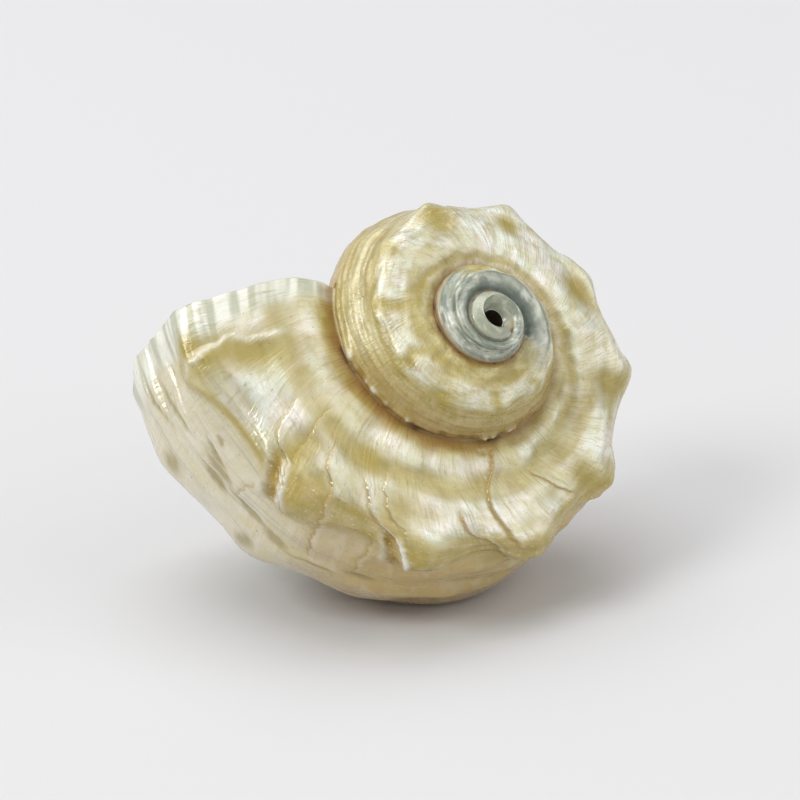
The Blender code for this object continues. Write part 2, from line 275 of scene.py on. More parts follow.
TORN_FROM, TORN_TO, TORN_HEIGHT = (345, 375), (480, 520), 0.8
RIDGE_SPACING, BROAD_RIDGE_SPACING, WAVES_WEAR = 0.4, 0.95, (700, 900)
# The worn top whorls are round, with deep sutures: bumps as (row, half width in rows, height)
TUBE_FROM, TUBE_TO, TUBE_OLDER = (536, 548), (1050, 1150), (690, 780)
TUBE_BUMPS, TUBE_OLDER_BUMP = [(1.9, 1, 1.3), (0.35, 0.6, -2.6), (4.2, 0.9, -1.6)], (3.2, 1.2, 0.8)
# How the suture sinks, as (radius, depth), and where that ends below and above it
CREVICE, CREVICE_ENDS, CREVICE_ABOVE_ENDS = np.array([-0.22, 0.5]), (780, 880), (1110, 1210)


def spines(angle, row):
    """Height of the spines: blunt tips on the keel, wide towards the suture, short down the wall."""
    last = SPINES[-1][0]
    up_spire = [(last + SPINE_SPACING * count, SPIRE_SPINE_HEIGHT) for count in range(1, SPIRE_SPINES)]
    total = np.zeros_like(angle)
    for centre, height in SPINES + up_spire:
        half = np.where(angle < SPINES[0][0], LIP_FLANK, SPINE_HALF_WIDTH)
        total += height * np.exp(-(np.abs(angle - centre) / half) ** SPINE_POINTEDNESS)
    reach = np.where(row < SPINE_ROW, SPINE_REACH_IN, SPINE_REACH_DOWN)
    return total * bell((row - SPINE_ROW) / reach) * (1 - ease(angle, *SPINES_WEAR))


def knobs(angle, row):
    along_wall = sum(height * bell((angle - centre) / KNOB_HALF_WIDTH) for centre, height in KNOBS)
    return along_wall * bell((row - KNOB_ROW) / KNOB_REACH)


def inset(angle, row):
    """How far inside the plain section the last whorl's surface lies."""
    scallop = sum(depth * bell((angle - centre) / SCALLOP_HALF_WIDTH) for centre, depth in SCALLOPS)
    older = ease(angle, *SLIM_OLDER_FROM)
    fresh_end, older_end = ease(row, *SLIM_TO_FRESH), ease(row, *SLIM_TO_OLDER)
    slim = ease(row, *SLIM_FROM) * (1 - fresh_end - older * (older_end - fresh_end))
    return scallop * bell((row - SPINE_ROW) / SCALLOP_REACH) + at_stops(angle, SLIMMING) * slim


def line_angle(line, row):
    """The angle of a crinkled growth line at a row."""
    angles, rows = zip(*line)
    crinkle = 0.45 * fine(row * 4.3, angles[0]) + 0.6 * wander(row * 2.1, angles[0])
    return np.interp(row, rows, angles) + crinkle


def line_gap(line, angle, row):
    """Degrees past a growth line, and how much the line is there."""
    gap = angle - line_angle(line, row)
    first, last = line[0][1], line[-1][1]
    return gap, between(row, (first - 0.2, first + 0.2), (last - 0.25, last + 0.2))


def fold_gap(fold, angle, row):
    """How far across a fold, in half widths, and how much the fold is there."""
    centre, slant, low, high, half = fold
    crinkle = 0.5 * fine(row * 6, centre)
    gap = (angle - centre - slant * (row - FLUTE_ROW) - crinkle) / half
    return gap, between(row, (low - 0.2, low + 0.5), (high - 0.15, high + 0.15))


def by_fresh_spines(angle, half_width):
    return np.clip(sum(bell((angle - centre) / half_width) for centre, _ in SPINES[:FRESH_SPINES]), 0, 1)


def keel_row(angle):
    """The row of the crease between ramp and wall: low at the spines, arched between them."""
    fresh = CREASE_ROW + CREASE_DIP * by_fresh_spines(angle, 6.5)
    return np.where(angle < CREASE_FRESH_TO, fresh, CREASE_ROW_OLDER)


def groove(angle, row):
    across = row - at_stops(angle, GROOVE) - 0.12 * wander(angle / 9)
    uneven = 0.75 + 0.25 * ripple(angle / 8, row)
    strength = (1 - ease(angle, 500, 530)) * uneven * (0.35 + 0.65 * ease(angle, 38, 58))
    return strength * bell(across / GROOVE_HALF_WIDTH)


def furrows(angle, row):
    """All the dull furrows of the ramp, from 0 to 1."""
    total = np.zeros_like(angle)
    for centre, half, low, high, strength in FURROWS:
        wobble = 2 * wander(row * 1.3, centre) + 1.2 * (row - (low + high) / 2)
        there = between(row, (low - 0.4, low + 0.4), (high - 0.3, high + 0.4))
        total = np.maximum(total, strength * there * bell((angle - centre - wobble) / half))
    return np.clip(np.maximum(total, GROOVE_STRENGTH * groove(angle, row)), 0, 1)


def wall_marks(angle, row):
    wobble = 0.1 * ripple(angle / 4, row) + 0.03 * fine(angle, row * 3)
    marks = (bell((angle - at) / half) * bell((row - place - slant * (angle - at) - wobble) / wide)
             for at, place, half, wide, slant in WALL_MARKS)
    return np.clip(1.9 * sum(marks) - 0.3, 0, 1)


def torn(growth, row):
    """Lumps and gaps along the torn foot of the second whorl's wall, from -1 to 1."""
    lumps = 0.9 * wander(growth / 7) + 0.9 * fine(growth / 2.6)
    lumps = np.clip(lumps, -1, 1) * bell((FOOT - row - 0.25) / 0.22)
    return between(growth, TORN_FROM, TORN_TO) * lumps


def swells(angle, row):
    """Broad waves of the surface, calmer near the lip."""
    patchy = wander(angle / 13 + 7, row * 0.9)
    plaits = ripple(angle / 6.5, row * 0.9 + 3)
    crumple = fine(angle / 3.2, row * 1.4 + 5)
    ramp = (0.46 * patchy + 0.3 * plaits + 0.07 * crumple) * (0.35 + 0.65 * ease(angle, 26, 48))
    wall = 0.34 * wander(angle / 14 + 20, row * 1.2 + 9) + 0.18 * ripple(angle / 5 + 4, row * 1.5)
    return between(row, (0.1, 0.6), (3.4, 4.3)) * ramp + ease(row, 4.3, 5) * (wall + 0.05 * crumple)


def ridges(angle, row):
    """Spiral ridges: fine ones round the wall, strongest on the spire, and broad ones on the base."""
    wobble = 0.12 * wander(angle / 19, row * 0.3) + 0.05 * ripple(angle / 5, row)
    wave = np.cos(2 * np.pi * (row + wobble) / RIDGE_SPACING)
    broad_wave = np.cos(2 * np.pi * (row - wobble) / BROAD_RIDGE_SPACING)
    on_base = ease(row, 6.8, 8.4)
    strong = 0.1 + 0.3 * (1 - ease(angle, 40, 60)) + 0.9 * ease(angle, 320, 380)
    narrow = 0.22 * strong * wave * (1 - on_base)
    broad = (0.06 + 0.1 * strong + 0.12 * on_base) * broad_wave
    return between(row, (4.5, 5.1), (12.2, 13.4)) * (narrow + broad)


def tube(angle, row):
    rounding = sum(height * bell((row - at) / wide) for at, wide, height in TUBE_BUMPS)
    at, wide, height = TUBE_OLDER_BUMP
    rounding += height * ease(angle, *TUBE_OLDER) * bell((row - at) / wide)
    return between(angle, TUBE_FROM, TUBE_TO) * rounding


def keel_edge(angle, row):
    crease = row - keel_row(angle)
    edge = CREASE_HEIGHT + CREASE_HIGHER * ease(angle, *CREASE_HIGHER_FROM)
    shape = edge * bell((crease + 0.05) / 0.15) - 1.5 * edge * bell((crease - 0.45) / 0.4)
    return between(angle, CREASE_RISES, CREASE_ENDS) * shape


def steps(angle, row):
    """Steps where growth halted, that fade up the spiral, and folds, with crests beside a valley."""
    gap, there = line_gap(LIP_STEP, angle, row)
    fade = np.exp(-np.clip(gap, 0, None) / LIP_STEP_FADE)
    height = there * LIP_STEP_HEIGHT * ease(gap, -0.5, 0.6) * fade
    for line, step, _ in HALTS:
        gap, there = line_gap(line, angle, row)
        rise = ease(gap, -0.3, 0.4) * np.exp(-np.clip(gap, 0, None) / HALT_FADE)
        height += there * step * (rise - 0.5 * bell((gap + 0.5) / 0.6))
    for fold in FLUTES:
        gap, there = fold_gap(fold, angle, row)
        crests = 0.6 * bell((gap - 1.5) / 0.5) + 0.25 * bell((gap + 1.5) / 0.6)
        height += there * (crests - 0.8 * bell(gap))
    return height


def relief(growth, row, angle):
    """Height of the surface above the plain spiral."""
    unworn = 1 - ease(angle, *WAVES_WEAR)
    height = spines(angle, row) + knobs(angle, row) + tube(angle, row)
    height += unworn * (swells(angle, row) + ridges(angle, row) - FURROW_DEPTH * furrows(angle, row))
    height += keel_edge(angle, row) + steps(angle, row)
    return height - MARK_DEPTH * wall_marks(angle, row) + TORN_HEIGHT * torn(growth, row)


def normal_at(section, row):
    """Unit normals of a section, outwards."""
    step = along(section, np.clip(row + 0.12, 0, LAST)) - along(section, np.clip(row - 0.12, 0, LAST))
    normal = np.stack([step[..., 1], -step[..., 0]], -1)
    return normal / np.linalg.norm(normal, axis=-1, keepdims=True)


def raise_relief(place, wide, growth, row, angle):
    """Points of the section, as (radius, depth), with their relief and the sunk suture."""
    normal = normal_at(LAST_SECTION, row) * (1 - wide) + normal_at(SPIRE_SECTION, row) * wide
    sunk = bell(row / 0.3) * (1 - ease(growth, *CREVICE_ENDS))
    above = (growth > WHORL_SHIFT - 1) * (1 - ease(growth, *CREVICE_ABOVE_ENDS))
    above = WHORL_RATIO * bell((FOOT - row) / 0.14) * above
    return place + normal * relief(growth, row, angle)[..., None] + CREVICE * (sunk + above)[..., None]


def top_widening(growth):
    return SUTURE[0] * scale(growth) * TOP_WIDENING * bell((growth - TOP_WIDEST) / TOP_SPREAD)


def shape_top(growth, row, radius, depth):
    """The radius and depth with the worn top wider and its rim sunk."""
    near_suture, near_foot = np.clip(1 - row / 3.5, 0, None), np.clip((row - 4) / 3, 0, None)
    on_spire = row <= FOOT
    inner = growth - WHORL_SHIFT
    radius = radius + on_spire * near_suture * top_widening(growth)
    radius = radius + on_spire * near_foot * top_widening(inner)
    sink = near_suture * ease(growth, *TOP_SINKS) + near_foot * ease(inner, *TOP_SINKS)
    depth = depth + on_spire * np.clip(sink, None, 1) * np.clip(RIM_DEPTH - depth, 0, None)
    return np.where(on_spire, np.maximum(radius, RIM_RADIUS), radius), depth


def outline(growth, row, raised=False):
    """Points of the outside before its underside is flattened, with its relief if raised."""
    growth, row = np.broadcast_arrays(growth, row)
    angle = growth + trail(row)
    wide = ease(angle, NARROW_UNTIL, WIDE_FROM)[..., None]
    place = along(LAST_SECTION, row) * (1 - wide) + along(SPIRE_SECTION, row) * wide
    if raised:
        place = raise_relief(place, wide, growth, row, angle)
    place[..., 0] -= inset(angle, row)
    radius, depth = np.moveaxis(place * scale(angle)[..., None], -1, 0)
    return on_axes(angle, *shape_top(growth, row, radius, depth))


def surface(growth, row):
    """Points of the finished outside, in millimetres from the pole, as it lies."""
    points = outline(growth, row, raised=True)
    points[..., 2] += flattening(points)
    return points


def hollow(angle, points, place):
    size = scale(angle)[..., None]
    wall = along(points, place)
    inner = HOLLOW_CENTRE + (wall - HOLLOW_CENTRE) * (1 - HOLLOW_NARROWING * (1 - size))
    return on_axes(angle, *np.moveaxis(inner * size, -1, 0))


# ---------------- mesh

OUTSIDE, LINING, HOLE_SIDE = 0, 1, 2  # what a vertex's side says
BY_GROWTH, BY_ROW = 0, 1  # keys of a place


def places(growth, row):
    return np.stack(np.broadcast_arrays(growth, row), -1)


class Mesh:
    """Vertices and faces, gathered sheet by sheet."""

    def __init__(self):
        self.points, self.places, self.sides = [], [], []
        self.faces, self.corners = [], []
        self.count = 0

    def add(self, points, growth, row, side):
        """New vertices, and their numbers in the same layout."""
        numbers = self.count + np.arange(points[..., 0].size).reshape(points.shape[:-1])
        self.count += numbers.size
        self.points.append(points.reshape(-1, 3))
        self.places.append(places(growth + 0 * numbers, row).reshape(-1, 2))
        self.sides.append(np.full(numbers.size, side, float))
        return numbers

    def quads(self, grid, growth, rows):
        """Faces of a grid of vertex numbers, with the growth of its lines and the rows across them."""
        place = places(*np.meshgrid(growth, rows, indexing="ij"))
        near, far = slice(0, -1), slice(1, None)
        cut = [(near, near), (far, near), (far, far), (near, far)]
        self.faces.append(np.stack([grid[part].ravel() for part in cut], -1))
        self.corners.append(np.stack([place[part].reshape(-1, 2) for part in cut], 1))

    def zip(self, first, first_place, second, second_place, key):
        """Triangles between two lines of vertices with different spacing along their places' key."""
        first_place, second_place = places(*first_place), places(*second_place)
        numbers, ends = np.concatenate([first, second]), np.concatenate([first_place, second_place])
        nexts = np.concatenate([first_place[1:, key], second_place[1:, key]])
        on_first = np.argsort(nexts, kind="stable") < len(first) - 1
        i, j = np.cumsum(on_first), len(first) + np.cumsum(~on_first)
        triangles = np.stack([i - on_first, np.where(on_first, i, j), j - ~on_first], -1)
        a, b, c = numbers[triangles].T
        triangles = triangles[(a != b) & (b != c) & (c != a)]
        self.faces.append(numbers[triangles])
        self.corners.append(ends[triangles])


def even_rows(low, high, steps):
    return np.linspace(low, high, steps, endpoint=False)


RAMP_AND_WALL = np.concatenate([
    even_rows(0, 0.4, 6), even_rows(0.4, 3.2, 32), even_rows(3.2, 5, 30), even_rows(5, 6.6, 22),
    even_rows(6.6, FOOT, 10), [FOOT],
])
BASE, NAVEL = np.linspace(FOOT, HIDDEN_END, 25), np.linspace(HIDDEN_END, LAST, 23)


def build_outside(mesh):
    """Every outer face. Returns the lines of vertices that the mouth, the top and the navel close."""
    step = WHORL_SHIFT / COLUMNS
    turn = COLUMNS // 4  # columns of the top in one WHORL_SHIFT
    last_growth = step * np.arange(COLUMNS + 1)
    second_growth = WHORL_SHIFT + 2 * step * np.arange(2 * turn + 1)
    top_growth = 2 * WHORL_SHIFT + 4 * step * np.arange(TOP_COLUMNS + 1)
    navel_growth = WHORL_SHIFT + 2 * step * np.arange(NAVEL_COLUMNS + 1)
    fine_rows, second_rows, top_rows = RAMP_AND_WALL, RAMP_AND_WALL[::2], RAMP_AND_WALL[::4]
    all_rows = np.concatenate([fine_rows, BASE[1:], NAVEL[1:]])
    foot, hidden_end = len(fine_rows) - 1, len(fine_rows) + len(BASE) - 2

    def sheet(growth, rows):
        growth, row = np.meshgrid(growth, rows, indexing="ij")
        return mesh.add(surface(growth, row), growth, row, OUTSIDE)

    # The top whorls: the suture of each turn is the foot of the turn above it
    top = sheet(top_growth, top_rows)
    shared = TOP_COLUMNS - turn
    top[: shared + 1, 0] = top[turn:, -1]
    mesh.quads(top, top_growth, top_rows)

    # The last whorl with the base and the navel's wall
    last = sheet(last_growth, all_rows)
    last[-1, 0] = top[0, -1]
    mesh.quads(last[:, 1:-1], last_growth, all_rows[1:-1])

    # The second whorl, between the last whorl's end and the top's first column
    second = sheet(second_growth, second_rows)
    mesh.quads(second[1:-1, 1:], second_growth[1:-1], second_rows[1:])
    mesh.zip(last[-1, 1 : foot + 1], (WHORL_SHIFT, fine_rows[1:]),
             second[1, 1:], (second_growth[1], second_rows[1:]), BY_ROW)
    mesh.zip(second[-2, 1:], (second_growth[-2], second_rows[1:]),
             top[0, 1:], (top_growth[0], top_rows[1:]), BY_ROW)

    # The sutures
    under_top = np.concatenate([[last[-1, 1]], second[1:-1, 1], [top[0, 1]]])
    mesh.zip(top[: turn + 1, -1], (top_growth[: turn + 1] - WHORL_SHIFT, 0),
             under_top, (second_growth, second_rows[1]), BY_GROWTH)
    second_foot = np.concatenate([[last[-1, foot]], second[1:-1, -1], [top[0, -1]]])
    mesh.zip(second_foot, (second_growth - WHORL_SHIFT, 0),
             last[:, 1], (last_growth, fine_rows[1]), BY_GROWTH)

    # The navel's wall goes on winding up past the last whorl
    navel = sheet(navel_growth, NAVEL)
    navel[0] = last[-1, hidden_end:]
    mesh.quads(navel, navel_growth, NAVEL)
    open_growth = last_growth[2 * NAVEL_COLUMNS + 2 : -1 : 2]
    open_edge = mesh.add(surface(open_growth, LAST), open_growth, LAST, OUTSIDE)
    navel_edge = np.concatenate([navel[:, 0], open_edge, [navel[0, -1]]])
    edge_growth = np.concatenate([navel_growth - WHORL_SHIFT, open_growth, [WHORL_SHIFT]])
    mesh.zip(last[:, -2], (last_growth, all_rows[-2]), navel_edge, (edge_growth, LAST), BY_GROWTH)

    lip = np.concatenate([[second_foot[0]], last[0, 1:-1], [navel[0, 0]]])
    parietal = last[-1, foot : hidden_end + 1][::-1]
    top_rim = np.concatenate([top[shared:, 0], top[-1, 1:-1]])
    floor_edge = [navel[-1, 0], *open_edge, *navel[:, -1], *navel[-1, -2:0:-1]]
    return lip, all_rows, parietal, top_rim, floor_edge


def fan(mesh, loop, tip, side):
    """Closes a loop of vertices with triangles to its tip."""
    centre = mesh.add(np.array([tip]), 0, 0, side)[0]
    mesh.faces.append(np.stack([loop, np.roll(loop, -1), np.full(len(loop), centre)], -1))
    mesh.corners.append(np.zeros((len(loop), 3, 2)))


def ring_to_ring(mesh, before, after, growth, place):
    """Faces between two closed loops with as many vertices."""
    mesh.quads(np.pad([before, after], ((0, 0), (0, 1)), "wrap"), growth, place)


def close_top(mesh, rim, points):
    """The worn hole in the top, with a floor below its rim."""
    around = np.arctan2(points[:, 1], points[:, 0]) / DEGREE
    place = np.linspace(0, 1, len(rim) + 1)
    before = rim
    for count, (radius, depth) in enumerate(HOLE):
        ring = on_axes(around, radius, np.full(len(rim), depth))
        ring = mesh.add(ring, HOLE_GROWTH, 0, HOLE_SIDE if count else OUTSIDE)
        ring_to_ring(mesh, before, ring, (HOLE_GROWTH, HOLE_GROWTH), place)
        before = ring
    fan(mesh, before, on_axes(0, 0, HOLE[-1][1]), HOLE_SIDE)


def parietal_rows(inner):
    """Rows, a turn back, that the mouth's inner side lies on."""
    return LAST - inner + HIDDEN_END


def hollow_ring(growth, place):
    """A ring of the hollow's wall: rows 0 to 15 along the outside, then 15 to 18 along the last turn."""
    outer, inner = place[place <= LAST], place[place > LAST]
    angle = growth + trail(outer)
    plain = outline(growth, outer)
    pressed = flattening(plain)
    wall = hollow(angle, HOLLOW, outer)
    wall -= on_axes(angle, inset(angle, outer) * scale(angle), 0 * angle)
    wall[:, 2] += pressed
    plain[:, 2] += pressed
    thick = LIP_THICKNESS + (1 - LIP_THICKNESS) * ease(growth, *LIP_THICKENS)
    wall = plain + thick * (wall - plain)
    row = parietal_rows(inner)
    side_points = [HOLLOW[-1], *HOLLOW_INNER_SIDE, HOLLOW[0]]
    side_place = np.interp(row, HOLLOW_INNER_ROWS, (4, 3, 2, 1, 0))
    side = hollow(growth + (trail(row) - TRAIL[FOOT]), side_points, side_place)
    return np.concatenate([wall, side])


def lip_middle(place):
    """The middle of the lip's thickness, a little forward to round it."""
    inner = surface(WHORL_SHIFT, parietal_rows(place[OUTER_STEPS:]))
    edge = np.concatenate([surface(0, place[:OUTER_STEPS]), inner])
    middle = (edge + hollow_ring(0, place)) / 2
    forward = on_axes(trail(5) - 90, 1, 0)
    middle[1 : OUTER_STEPS - 1] += LIP_ROUNDING * forward
    return middle


def add_hollow(mesh, lip, rows, parietal):
    """The lip's rounded edge, and the hollow that runs from it up inside the tube."""
    outer_part, inner_part = np.linspace(0, LAST, OUTER_STEPS), np.linspace(LAST, LAST + 3, INNER_STEPS)
    place = np.concatenate([outer_part, inner_part[1:-1]])
    closed = np.append(place, LAST + 3)
    before = mesh.add(lip_middle(place), 0, place, LINING)
    outer = np.concatenate([lip, parietal[1:]])
    outer_place = np.concatenate([rows, parietal_rows(BASE[::-1][1:])])
    mesh.zip(outer, (0, outer_place), np.append(before, before[0]), (0, closed), BY_ROW)
    growth_before = 0
    depths = np.linspace(0, 1, HOLLOW_RINGS) ** HOLLOW_SPREAD
    for growth in HOLLOW_FROM + (HOLLOW_TO - HOLLOW_FROM) * depths:
        ring = mesh.add(hollow_ring(growth, place), growth, place, LINING)
        ring_to_ring(mesh, before, ring, (growth_before, growth), closed)
        before, growth_before = ring, growth
    points = np.concatenate(mesh.points)
    fan(mesh, before, points[before].mean(0), LINING)


def mesh_data(mesh):
    """Blender's mesh from the gathered sheets, and the places of its vertices."""
    used = np.unique(np.concatenate([block.ravel() for block in mesh.faces]))
    renumbered = np.zeros(mesh.count, int)
    renumbered[used] = np.arange(len(used))
    faces = [face for block in mesh.faces for face in renumbered[block].tolist()]
    data = bpy.data.meshes.new("nacre_shell")
    data.from_pydata(((np.concatenate(mesh.points)[used] + POLE) * MM).tolist(), [], faces)
    corners = np.concatenate([block.reshape(-1, 2) for block in mesh.corners])
    place = data.uv_layers.new(name="place")
    place.data.foreach_set("uv", (corners / (360, 1)).ravel().astype(np.float32))
    side = data.attributes.new("side", "FLOAT", "POINT")
    side.data.foreach_set("value", np.concatenate(mesh.sides)[used].astype(np.float32))
    data.update()
    return data, np.concatenate(mesh.places)[used]


def add_object(data):
    added = bpy.data.objects.new(data.name, data)
    bpy.context.scene.collection.objects.link(added)
    return added


def face_outwards(data):
    facing = bmesh.new()
    facing.from_mesh(data)
    bmesh.ops.recalc_face_normals(facing, faces=facing.faces)
    facing.to_mesh(data)
    facing.free()
    data.shade_smooth()


def make_shell():
    mesh = Mesh()
    lip, rows, parietal, top_rim, floor_edge = build_outside(mesh)
    points = np.concatenate(mesh.points)
    close_top(mesh, top_rim, points[top_rim] @ RESTING)
    fan(mesh, floor_edge, on_axes(0, 0, NAVEL_FLOOR), OUTSIDE)
    add_hollow(mesh, lip, rows, parietal)
    data, place = mesh_data(mesh)
    face_outwards(data)
    paint_masks(data, place)
    shell = add_object(data)
    data.materials.append(nacre_material())
    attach(shell, "root")
    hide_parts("shell")


# ---------------- masks

# Where the ramp's silvery panels end and its tan margin starts, as (angle, row)
PANEL_FOOT = [
    (20, 4.3), (50, 4.1), (56, 3), (72, 2.95), (80, 2.7), (90, 2.8), (98, 3.15), (110, 2.8),
    (120, 3.2), (145, 3.05), (155, 3.4), (165, 4.2), (340, 4.1),
]
SECOND_FROM, SECOND_TO = 345, 520  # growth at the ends of the second whorl's worn wall
# the white by the suture is partly a painted highlight on a spiral ridge
WHITE_BY_SUTURE = [(0.45, 0), (0.7, 0.85), (1.1, 0.85), (1.4, 0.3)]  # (row, whiteness)
GOLDEN_KEEL_FROM, GOLDEN_KEEL_TO = (28, 34), (160, 172)
# where the far side is painted lighter, as if lit, and how widely
PAINTED_LIGHT_SIDE, PAINTED_LIGHT_SPREAD = 265, 70
BLUE_FROM, BLUE_HINT_FROM = (528, 545), (500, 534)
LIP_BAND = (4, 9)  # growth over which the lip's banding ends


def crack_masks(angle, row):
    """The gold in the cracks and folds, partly painted shade in their hollows, and the white rims beside
    them.
    """
    gold, rim = np.zeros((2, len(row)))
    for line, step, golden in HALTS:
        gap, there = line_gap(line, angle, row)
        wide = 0.8 + 0.7 * (golden > OPENEST_CRACK) * (1 - ease(row, 1.1, 1.5))
        gold += 0.8 * golden * there * wide * bell((gap + 0.4) / wide)
        rim += 1.5 * step * there * bell((gap - 0.7) / 0.7)
    gap, there = line_gap(LIP_STEP, angle, row)
    rim += there * bell((gap - 0.2) / 0.9) * (0.6 + 0.4 * fine(row * 5, angle / 3))
    for fold in FLUTES:
        gap, there = fold_gap(fold, angle, row)
        gold += 1.1 * there * bell((gap + 0.1) / 0.9)
        rim += there * (bell((gap - 1.5) / 0.45) + 0.35 * bell((gap + 1.5) / 0.5))
    return gold, rim


def stain_and_shade_mask(growth, angle, row):
    """Brown staining and painted shade along the sutures, least on the torn foot's lumps; a hint on the
    worn wall.
    """
    wavy = 0.12 * ripple(angle / 4)
    deep = 0.28 + 0.16 * between(growth, (10, 40), (100, 130))
    fainter = 1 - ease(growth, 115, 150) * (1 - ease(growth, 335, 370))
    by_suture = 1.4 * bell(row / (deep + wavy)) * (0.5 + 0.5 * fainter)
    reach = 0.3 + 0.4 * ease(growth, 600, 700) + wavy
    by_foot = ease(growth, 345, 380) * bell((FOOT - row) / reach)
    stain_and_shade = np.maximum(by_suture, by_foot) * (1 - ease(growth, 850, 950)) - 0.8 * torn(growth, row)
    worn_wall = ease(angle, 385, 415) * ease(row, 5, 6) * (growth > SECOND_FROM)
    return stain_and_shade + 0.35 * worn_wall * (growth < SECOND_TO)


def wall_mask(growth, angle, row, crease):
    """The wall's own colours, which go round the back on the base alone."""
    above_base = np.maximum(ease(growth, 330, 345), 1 - ease(row, 5.5, 8))
    return ease(crease, -0.1, 0.75) * (1 - 0.9 * ease(angle, 230, 300) * above_base)


def olive_and_shade_mask(growth, angle, row, crease):
    """Olive in the furrows and on the lip's keel, partly painted shade; also on spine tips and the worn
    wall.
    """
    tips = by_fresh_spines(angle + 3, 6) * ease(row, 2.9, 3.7) * (1 - ease(crease, 0.1, 0.5))
    lip_keel = between(angle, (28, 34), (54, 62)) * bell(crease / 0.16)
    worn_wall = ease(angle, 385, 415) * ease(row, 5.6, 6.4) * (growth < SECOND_TO)
    return np.maximum.reduce([furrows(angle, row), 0.85 * tips, 0.8 * lip_keel, 0.8 * worn_wall])


def golden_keel(angle, row, crease):
    there = between(angle, GOLDEN_KEEL_FROM, GOLDEN_KEEL_TO) * (0.8 + 0.5 * ripple(angle / 3, row))
    return 0.5 * there * bell((crease - 0.1) / 0.08)


def below_panels(angle, row):
    return row - at_stops(angle, PANEL_FOOT) + 0.15 * ripple(angle / 4)


def tan_mask(growth, angle, row, crease):
    """The tan margin between the panels and the keel, and the lower wall of the second whorl."""
    margin = ease(below_panels(angle, row), -0.1, 0.35) * (1 - ease(crease, 0.1, 0.6))
    margin = 0.8 * margin * between(angle, (50, 58), (158, 170))
    second = 0.75 * ease(growth, 372, 388) * ease(row, 4.1, 4.6) * (growth < SECOND_TO)
    return np.maximum(margin, second)


def silver_and_highlight_mask(growth, angle, row, olive_and_shade, tan):
    """Silver and painted highlight by the suture, on panels and second whorl; painted light on the far
    side.
    """
    by_suture = at_stops(row, WHITE_BY_SUTURE) * (angle < SECOND_FROM)
    panels = ease(row, 1.5, 1.8) * (1 - ease(below_panels(angle, row), -0.35, 0.15))
    second_wall = 0.45 * ease(angle, 330, 360) * bell((row - 5.4) / 0.9) * (angle < SECOND_TO)
    second_ramp = 0.7 * ease(angle, 380, 392) * bell((row - 3) / 1.4) * (angle < 500)
    # the far side painted lighter, as painted light
    painted_light_far_side = 1.4 * bell((angle - PAINTED_LIGHT_SIDE) / PAINTED_LIGHT_SPREAD) * bell((row - 2) / 3)
    white = np.maximum.reduce([by_suture, panels, second_wall, second_ramp, painted_light_far_side])
    older = 1 - 0.25 * ease(growth, 370, 410)
    patchy = 0.75 + 0.35 * wander(angle / 7, row * 1.5)
    return white * (1 - olive_and_shade) * (1 - 0.9 * np.clip(tan, 0, 1)) * older * patchy


def blue_mask(angle, row):
    """Blue-grey of the tip, whose first turn keeps the nacre's colour on its wall."""
    fading = angle + 5 * ripple(row * 2.5, 3)
    blue = np.maximum(ease(fading, *BLUE_FROM), 0.35 * ease(angle, *BLUE_HINT_FROM))
    return blue * (1 - ease(row, 2.3, 2.7) * (1 - ease(angle, 655, 690)))


def paint_masks(data, place):
    """Masks for the material, from each vertex's growth and row."""
    growth, row = place.T
    angle = growth + trail(np.clip(row, 0, LAST))
    side = np.empty(len(growth), np.float32)
    data.attributes["side"].data.foreach_get("value", side)
    crease = row - keel_row(angle)
    gold, rim = crack_masks(angle, row)
    olive_and_shade, tan = olive_and_shade_mask(growth, angle, row, crease), tan_mask(growth, angle, row, crease)
    masks = {
        # brown staining and painted shade in the crevices along the sutures
        "stain_and_shade": stain_and_shade_mask(growth, angle, row),
        "rim": rim + 0.7 * ease(torn(growth, row), 0.35, 0.9),
        # olive, partly painted shade in the furrows and by the keel
        "olive_and_shade": olive_and_shade,
        "wall": wall_mask(growth, angle, row, crease),
        # silvery white, partly painted highlight, and painted light on the far side
        "white": silver_and_highlight_mask(growth, angle, row, olive_and_shade, tan),
        "blue": blue_mask(angle, row),
        "lip": 1 - ease(growth + 1.5 * ripple(row * 1.5, growth / 20), *LIP_BAND),
        "tan": tan,
        # golden cracks and folds, partly painted shade in their hollows, and the keel's golden line
        "gold": gold + golden_keel(angle, row, crease),
        "mark": wall_marks(angle, row),
        # teal painted shade in the groove along the tip's suture
        "groove": ease(angle, 536, 550) * bell((row - 0.45) / 0.75) * (1 - ease(growth, 800, 900)),
    }
    for name, values in masks.items():
        layer = data.attributes.new(name, "FLOAT", "POINT")
        layer.data.foreach_set("value", (np.clip(values, 0, 1) * (side < 0.5)).astype(np.float32))


# ---------------- material

OLIVE = (0.385, 0.295, 0.055, 1)
CREAM = (0.62, 0.545, 0.245, 1)
WHITE = (0.92, 0.93, 0.87, 1)
ROSE_WHITE = (0.95, 0.92, 0.85, 1)
GREEN_WHITE = (0.88, 0.93, 0.82, 1)
PEARL = (0.92, 0.93, 0.83, 1)
WARM_LINING = (0.93, 0.88, 0.79, 1)
PINKISH = (0.52, 0.375, 0.15, 1)
UNDERSIDE = (0.5, 0.315, 0.125, 1)
PALE_WALL = (0.72, 0.66, 0.5, 1)
GREY_BLUE = (0.46, 0.48, 0.35, 1)
OCHRE = (0.32, 0.2, 0.05, 1)
# golden of cracks and folds, partly painted shade in their hollows
GOLDEN = (0.4, 0.265, 0.045, 1)
MOSS = (0.32, 0.255, 0.085, 1)
TAN = (0.5, 0.375, 0.15, 1)
# brown of the sutures: partly staining, partly painted shade in the crevices
STAIN_AND_SHADE_BROWN = (0.35, 0.2, 0.055, 1)
# painted shade for the deepest crevice along the sutures
CREVICE_SHADE = (0.07, 0.04, 0.018, 1)
